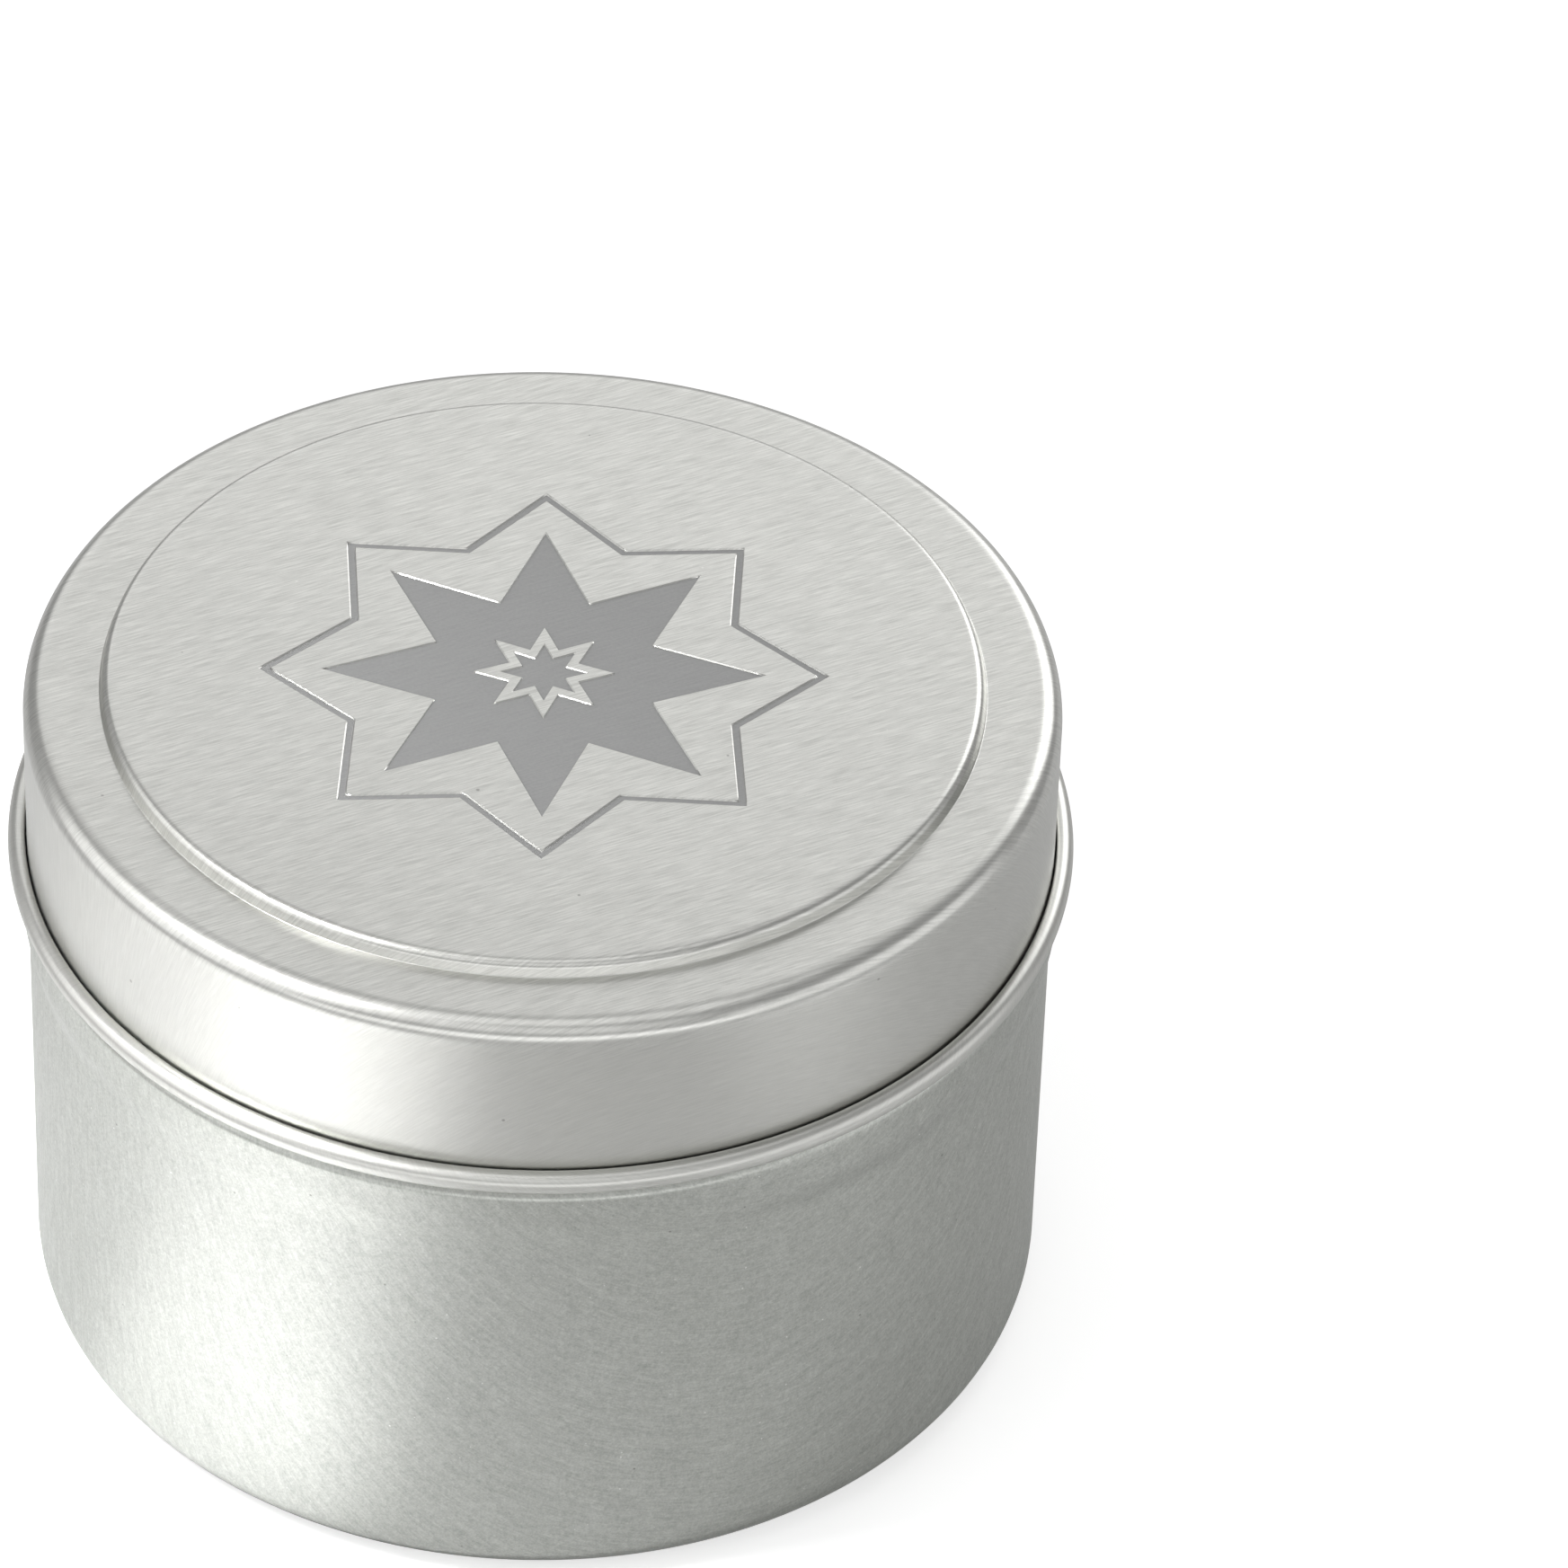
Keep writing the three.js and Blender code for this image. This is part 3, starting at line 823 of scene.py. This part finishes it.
# A disc with a pressed ring, pressed up into a neck. The neck is crimped on the wick by two opposite flats.
def makeTab(finish):
    columns = tab["columns"]
    angle = turnAngles(columns)
    neck = tab["neckInner"] + sheet / 2
    low = tabLow[2] + sheet / 2
    corners = [(tabHigh[0], low, 0), (neck, low, tab["fillet"]), (neck, tabHigh[2], 0)]
    path = supported(roundedPath(corners, arcSteps=11), near=tab["rowsNear"], longest=tab["rowsApart"])
    section, run = sheetSection(path, 1)
    out, up = section[:, :1], section[:, 1:]
    ringBead = tab["beadRise"] * np.exp(-((out - tab["beadAt"]) / tab["beadWidth"]) ** 2)
    squeeze = tab["crimp"] * np.exp(-((up - tabLow[2] - tab["crimpHeight"]) / tab["crimpReach"]) ** 2)
    radius = out * (1 - squeeze * (1 - np.cos(2 * angle)) / 2 * (out < tab["neckOnly"]))
    grid = turnedGrid(radius, up + ringBead, columns)
    return gridPiece("tab_disc", grid, blankSpread(run, columns), [finish], ring=True)[0]


# A flat foam disc with small rounded edges and a slightly bulging side.
def makeTape(finish):
    columns = tape["columns"]
    middle = (tapeLow[2] + tapeHigh[2]) / 2
    edge = tapeHigh[0]
    inset = edge - tape["bulge"]
    corners = [(0, tapeLow[2], 0), (inset, tapeLow[2], tape["edgeRound"]), (edge, middle, tape["bulgeRound"]),
               (inset, tapeHigh[2], tape["edgeRound"]), (0, tapeHigh[2], 0)]
    section = supported(roundedPath(corners, arcSteps=7), near=0.1)
    run = np.minimum(runLength(section), runLength(section[::-1])[::-1])
    grid = turnedGrid(section[:, 0], section[:, 1], columns)
    return gridPiece("tape_disc", grid, blankSpread(run, columns), [finish])[0]


# Bright drawn steel with a short grain and clouded gloss.
def makeTabSteel():
    material, tree, shader = newMaterial("tabSteel", Metallic=1.0)
    streaks = putGroup(tree, grainGroup, {"Place": rolledPlace(tree), "Length": tab["grainLength"],
                                          "Width": tab["grainWidth"]})["Streaks"]
    mottle = putGroup(tree, mottleGroup, {"Place": placeInMm(tree), "Span": tab["cloudSpan"],
                                          "Fineness": tab["grit"]})
    addFinish(tree, shader, blended(tree, streaks, tab["dark"], tab["light"]),
              ranged(tree, mottle["Clouds"], 0, 1, tab["smooth"], tab["rough"]))
    addRelief(tree, shader, tab["bump"], tinplate["reliefDepth"], streaks)
    return material


# White foam with small cells, matt all over.
def makeFoam():
    material, tree, shader = newMaterial("foamTape", Roughness=tape["matt"])
    place = placeInMm(tree)
    cells = put(tree, "TexVoronoi", {"Vector": place, "Scale": tape["cellScale"]}).outputs["Distance"]
    mottle = putGroup(tree, mottleGroup, {"Place": place, "Span": 3.0, "Fineness": 0.3})
    addFinish(tree, shader, blended(tree, mottle["Clouds"], tape["dark"], tape["light"]))
    addRelief(tree, shader, tape["bump"], tape["bumpDepth"], cells)
    return material


# Edge bands, as how far back from the end of the sheet's middle line, reach, change of roughness and painted
# highlight: the lid's hem and corner, and the can's rim, which lies past the end of the neck.
lidEdgeBands = [(1.4, 1.9, 0.12, 0.10), (13.6, 1.1, -0.03, 0.12)]
canEdgeBands = [(-8.4, 1.2, -0.04, 0.15)]


def edgeBandsAlong(path, bands):
    end = runLength(path)[-1]
    return [(end - back, *rest) for back, *rest in bands]


tinplateLid = makeTinplate("lidTinplate", lidLook, edgeBandsAlong(lidMiddleLine(), lidEdgeBands))
tinplateBody = makeTinplate("bodyTinplate", bodyLook, edgeBandsAlong(canMiddleLine()[0], canEdgeBands))
print("finishes of the sheet ready")

# the made piece, the body it rides on, the frame node it replaces and its slot
pieces = [
    (makeLid(tinplateLid, makeMarkPrint()), "lid", "lid", "lid_tinplate"),
    (makeTinBody(tinplateBody), "tin", "tin_body", "body_tinplate"),
    (makeWax(makeWaxFinish()), "tin", "wax_fill", "wax"),
    (makeWick(makeCotton(), makeCapWax()), "tin", "wick", "wick_cotton"),
    (makeTab(makeTabSteel()), "tin", "wick_sustainer", "tab_steel"),
    (makeTape(makeFoam()), "tin", "wick_sticker", "foam_tape"),
]
for piece, body, node, slot in pieces:
    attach(piece, body)
    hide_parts(node)
    print(piece.name, len(piece.data.vertices), "vertices")


# A panel is its place, aim, size, power and spread. A floor spot is its distance out, its turn from the front
# towards the right, its reach and its power. All lengths are in metres.
studio = {
    "floorSize": 3.0, "floorNear": 1.5 * mm, "floorTone": 0.68, "floorLift": 0.56, "worldTone": 0.34,
    "panels": {
        "backLow": ((0, 0.62, 0.38), (0, 0, 0.03), (0.75, 0.34), 0.67, 180),
        "backRight": ((0.36, 0.55, 0.38), (0, 0, 0.03), (0.34, 0.34), 0.89, 180),
        "backHigh": ((0, 0.43, 0.58), (0, 0, 0.03), (0.60, 0.30), 0.15, 180),
        "overhead": ((0, 0.02, 0.80), (0, 0, 0.03), (0.60, 0.50), 0.70, 180),
        "left": ((-0.66, -0.10, 0.36), (0, 0, 0.02), (0.90, 0.66), 1.90, 180),
        "frontHigh": ((-0.12, -0.50, 0.62), (0, 0, 0.03), (1.00, 0.44), 0.85, 180),
        "frontLow": ((-0.05, -0.75, 0.10), (0, 0, 0.03), (1.50, 0.30), 1.80, 180),
        "right": ((0.70, -0.25, 0.24), (0, 0, 0.03), (0.90, 0.50), 1.00, 180),
        "leftNear": ((-0.16, -0.06, 0.20), (-0.075, -0.03, 0), (0.05, 0.12), 0.048, 40),
    },
    "spotHeight": 0.25, "spotSoftness": 0.004,
    "floorSpots": {
        "poolFoot": (0.041, -30, 0.012, 1.5), "poolClose": (0.044, -46, 0.020, 2.8),
        "poolNear": (0.060, -45, 0.034, 1.4), "poolFar": (0.095, -36, 0.048, 3.0),
        "poolRight": (0.105, 50, 0.045, 1.3),
    },
    "camera": {"lens": 219.26, "distance": 0.5906, "elevation": 41.5, "turnedAbout": 0.022,
               "aimRight": 0.014692, "aimHeight": 0.037123, "roll": 2.09, "sensor": 36, "nearest": 0.01},
}


# Pale and matt, and a little bright in itself to the camera. It is clear to the camera from below, and to
# light that leaves a surface almost touching it, so that the tin's base isn't black when seen from below.
def makeFloor():
    material = bpy.data.materials.new("paleFloor")
    material.use_nodes = True
    tree = material.node_tree
    tree.nodes.clear()
    path = put(tree, "LightPath").outputs
    tone = studio["floorTone"]
    diffuse = put(tree, "BsdfDiffuse", {"Color": (tone, tone, tone, 1)}).outputs[0]
    strength = math2(tree, "MULTIPLY", path["Is Camera Ray"], studio["floorLift"])
    lift = put(tree, "Emission", {"Strength": strength}).outputs[0]
    lit = put(tree, "AddShader", {0: diffuse, 1: lift}).outputs[0]
    clear = put(tree, "BsdfTransparent").outputs[0]
    under = math2(tree, "MULTIPLY", put(tree, "NewGeometry").outputs["Backfacing"], path["Is Camera Ray"])
    near = math2(tree, "LESS_THAN", path["Ray Length"], studio["floorNear"])
    shown = put(tree, "MixShader", {0: math2(tree, "MAXIMUM", under, near), 1: lit, 2: clear}).outputs[0]
    put(tree, "OutputMaterial", {"Surface": shown})
    half = studio["floorSize"] / 2
    mesh = bpy.data.meshes.new("floor")
    corners = [(-half, -half, 0), (half, -half, 0), (half, half, 0), (-half, half, 0)]
    mesh.from_pydata(corners, [], [(0, 1, 2, 3)])
    mesh.materials.append(material)
    floor = bpy.data.objects.new("floor", mesh)
    bpy.context.scene.collection.objects.link(floor)


# A soft panel light that shines from its place towards a point, seen in reflections but not by the camera.
def makePanel(name, place, aim, size, power, spread=180):
    light = bpy.data.lights.new(name, "AREA")
    light.shape = "RECTANGLE"
    light.size, light.size_y = size
    light.spread = math.radians(spread)
    hang(name, light, place, aim, power)


# A gridded spot straight above a place on the floor, whose pool of light is reach wide each way.
def makeFloorSpot(name, out, turn, reach, power):
    light = bpy.data.lights.new(name, "SPOT")
    light.spot_size = 2 * math.atan(reach / studio["spotHeight"])
    light.spot_blend = 1.0
    light.shadow_soft_size = studio["spotSoftness"]
    place = Vector((out * math.sin(math.radians(turn)), -out * math.cos(math.radians(turn)), 0))
    hang(name, light, place + Vector((0, 0, studio["spotHeight"])), place, power)


# Puts a light in its place, turned towards a point and out of the camera's sight.
def hang(name, light, place, aim, power):
    light.energy = power
    lamp = bpy.data.objects.new(name, light)
    lamp.location = place
    lamp.rotation_euler = (Vector(aim) - Vector(place)).to_track_quat("-Z", "Y").to_euler()
    lamp.visible_camera = False
    bpy.context.scene.collection.objects.link(lamp)


def makeWorld():
    world = bpy.data.worlds.new("studio")
    world.use_nodes = True
    tone = studio["worldTone"]
    world.node_tree.nodes["Background"].inputs["Color"].default_value = (tone, tone, tone, 1)
    bpy.context.scene.world = world


def makeCamera():
    told = studio["camera"]
    camera = bpy.data.objects.new("camera", bpy.data.cameras.new("camera"))
    camera.data.sensor_width = told["sensor"]
    camera.data.lens = told["lens"]
    camera.data.clip_start = told["nearest"]
    rise = math.radians(told["elevation"])
    away = Vector((0, -math.cos(rise), math.sin(rise)))
    place = away * told["distance"] + Vector((0, 0, told["turnedAbout"]))
    aim = Vector((told["aimRight"], 0, told["aimHeight"])) - place
    roll = Quaternion((0, 0, 1), math.radians(told["roll"]))
    camera.rotation_mode = "QUATERNION"
    camera.location = place
    camera.rotation_quaternion = aim.to_track_quat("-Z", "Y") @ roll
    bpy.context.scene.collection.objects.link(camera)
    bpy.context.scene.camera = camera


makeFloor()
makeWorld()
for name, told in studio["panels"].items():
    makePanel(name, *told)
for name, told in studio["floorSpots"].items():
    makeFloorSpot(name, *told)
makeCamera()
bpy.context.scene.view_settings.view_transform = "Standard"
print("floor, lights and camera ready")
